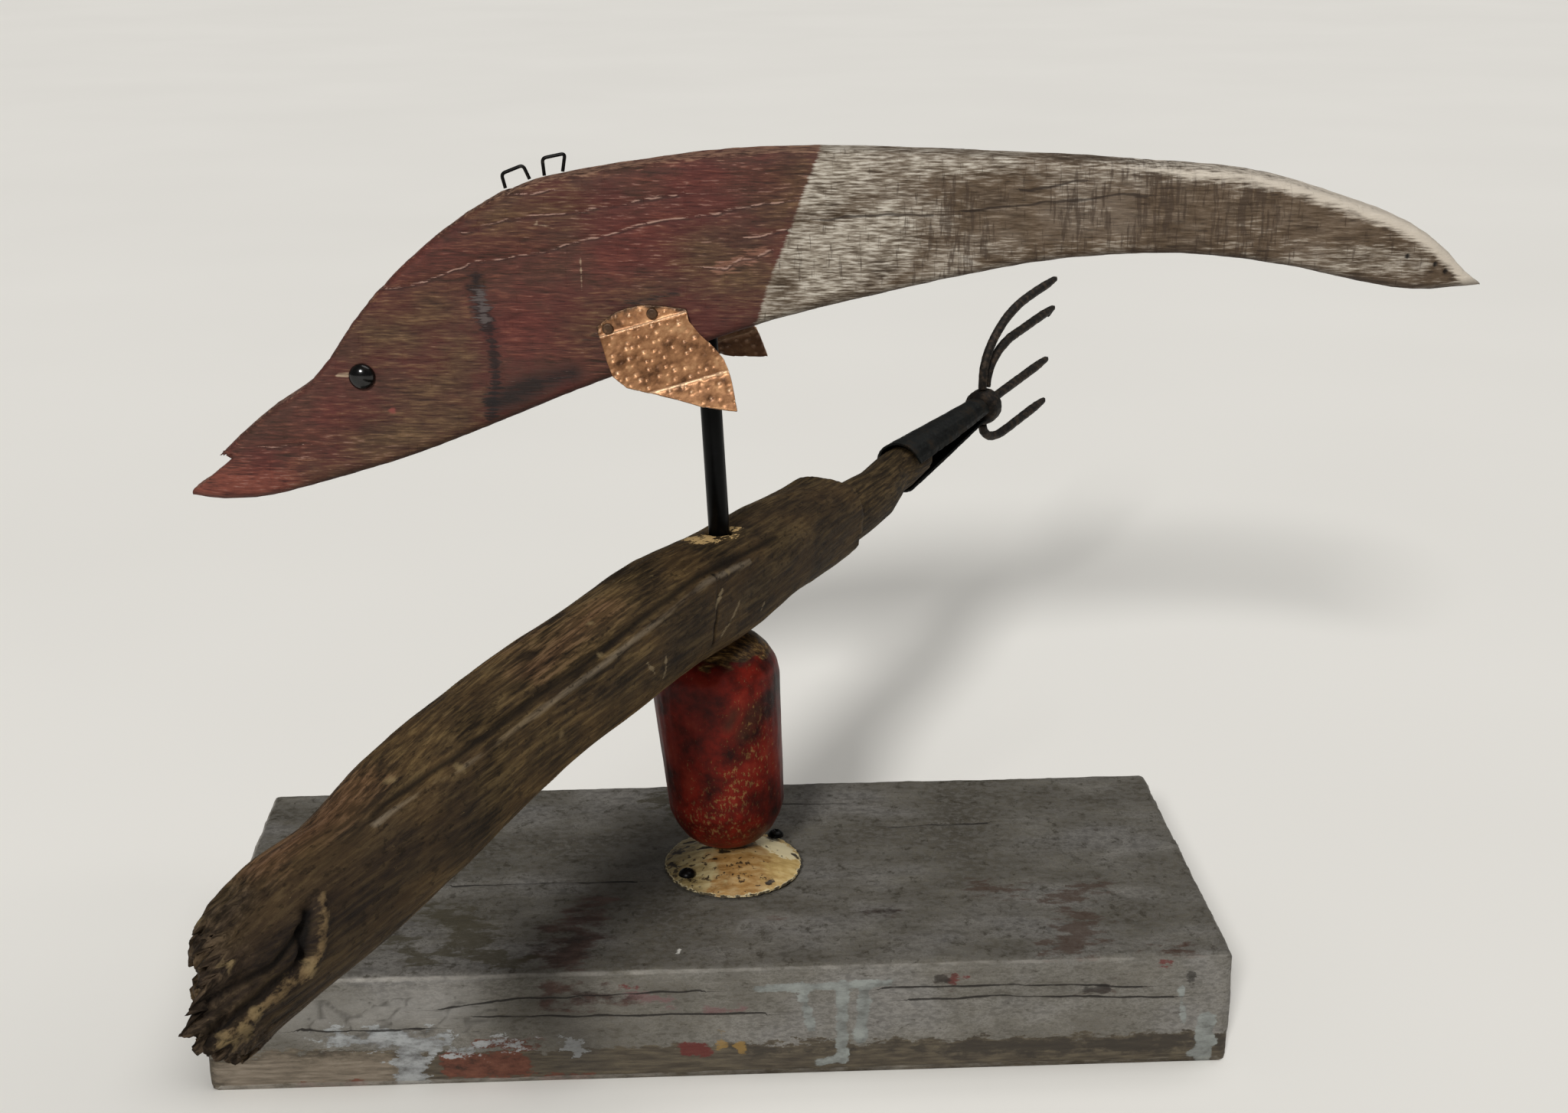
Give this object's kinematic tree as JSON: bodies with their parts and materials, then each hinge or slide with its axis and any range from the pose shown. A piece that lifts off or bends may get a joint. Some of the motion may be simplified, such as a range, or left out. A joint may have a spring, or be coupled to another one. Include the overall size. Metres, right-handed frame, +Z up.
{
  "type": "fish decoy on a stand",
  "caption": "Carved wooden fish decoy with hammered copper fins, held on a steel rod above driftwood, an old hand spear, a red float and a painted plank.",
  "frame": {"origin": "middle of the plank's underside", "axes": "+Z up; +X from the fish's head towards its tail, along the plank; +Y away from the viewer, the way the spear points"},
  "size_m": [0.401, 0.5337, 0.2788],
  "materials": {
    "painted_plank": "worn grey paint over weathered softwood",
    "cream_enamel": "chipped cream paint on iron, rusty at the rim",
    "black_steel": "blackened steel, semi-gloss",
    "red_float": "dark red paint, worn to the wood at the top",
    "driftwood": "weathered grey-brown driftwood, rough",
    "forged_iron": "dark rolled and forged iron",
    "rusty_iron": "dark brown rust on iron wire",
    "fish_paint": "barn red and whitewash over weathered board",
    "copper_sheet": "hammered copper sheet, tarnished",
    "fin_nail": "dull copper nail head",
    "black_tack": "glossy black enamel"
  },
  "bodies": {
    "root": {"base_board": "painted_plank", "foot_disc": "cream_enamel", "disc_screw_left": "black_steel", "disc_screw_right": "black_steel", "float": "red_float", "bough": "driftwood", "rod": "black_steel", "spear_socket": "forged_iron", "spear_collar": "forged_iron", "spear_tine_1": "rusty_iron", "spear_tine_2": "rusty_iron", "spear_tine_3": "rusty_iron", "spear_tine_4": "rusty_iron", "fish_body": "fish_paint", "fin_near": "copper_sheet", "fin_far": "copper_sheet", "fin_nail_near_1": "fin_nail", "fin_nail_near_2": "fin_nail", "fin_nail_far_1": "fin_nail", "fin_nail_far_2": "fin_nail", "eye_tack_near": "black_tack", "eye_tack_far": "black_tack", "line_loop_front": "black_steel", "line_loop_rear": "black_steel"}
  },
  "joints": []
}
